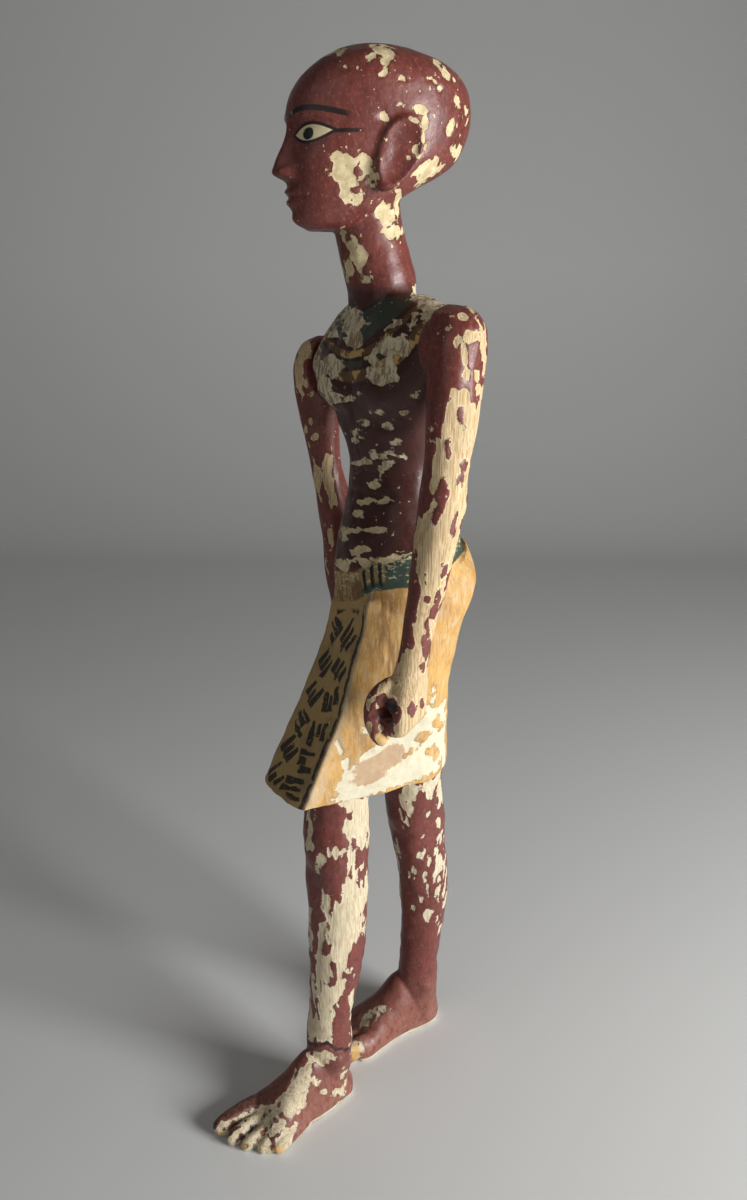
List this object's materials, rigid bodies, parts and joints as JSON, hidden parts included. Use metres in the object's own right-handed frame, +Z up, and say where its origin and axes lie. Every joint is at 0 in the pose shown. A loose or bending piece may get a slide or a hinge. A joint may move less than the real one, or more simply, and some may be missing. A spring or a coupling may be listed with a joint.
{
  "type": "priest statue",
  "caption": "Slim striding wooden priest statue with a long shaven skull, a stiff pointed apron kilt and closed, pierced fists.",
  "frame": {"origin": "middle of the statue's box, on the plane of the soles", "axes": "+Z up, -Y the way the figure faces, +X to the figure's left"},
  "size_m": [0.1772, 0.199, 0.6599],
  "materials": {
    "figure_wood": "red-brown paint over gesso on wood, flaking, semi-gloss; ochre kilt",
    "arm_wood": "red-brown paint worn to gesso and bare wood along the grain"
  },
  "bodies": {
    "root": {"figure": "figure_wood", "left_arm": "arm_wood", "right_arm": "arm_wood"}
  },
  "joints": []
}
